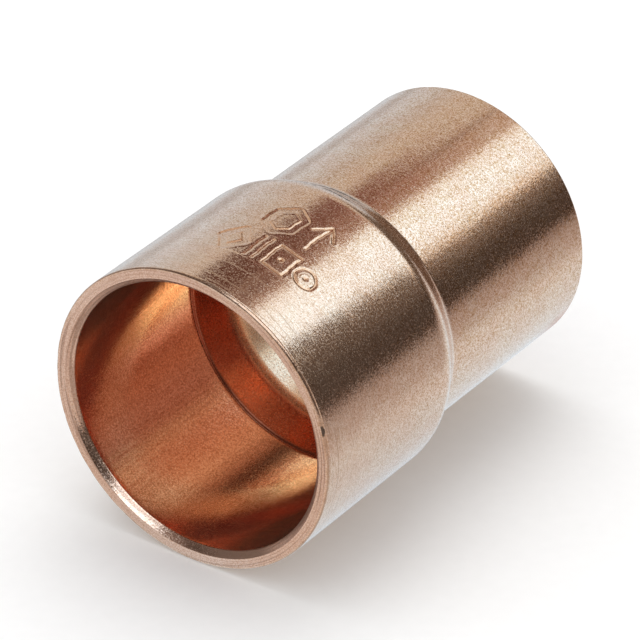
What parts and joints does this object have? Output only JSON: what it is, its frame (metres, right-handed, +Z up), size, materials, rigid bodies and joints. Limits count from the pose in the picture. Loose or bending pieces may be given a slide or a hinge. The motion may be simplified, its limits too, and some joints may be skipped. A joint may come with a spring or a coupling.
{
  "type": "concentric reducer",
  "caption": "Concentric brazing reducer: a seamless copper-alloy sleeve with a wide tube socket, a necked shoulder and a narrower tube socket on one axis.",
  "frame": {"origin": "on the flow axis, half way between the two mouth faces", "axes": "+Y along the flow axis from the wide mouth to the narrow mouth, +Z up with the fitting lying on its side, +X to the right seen from the wide mouth"},
  "size_m": [0.025, 0.0366, 0.025],
  "materials": {
    "copper": "satin bare copper alloy"
  },
  "bodies": {
    "root": {"reducer_body": "copper"}
  },
  "joints": []
}
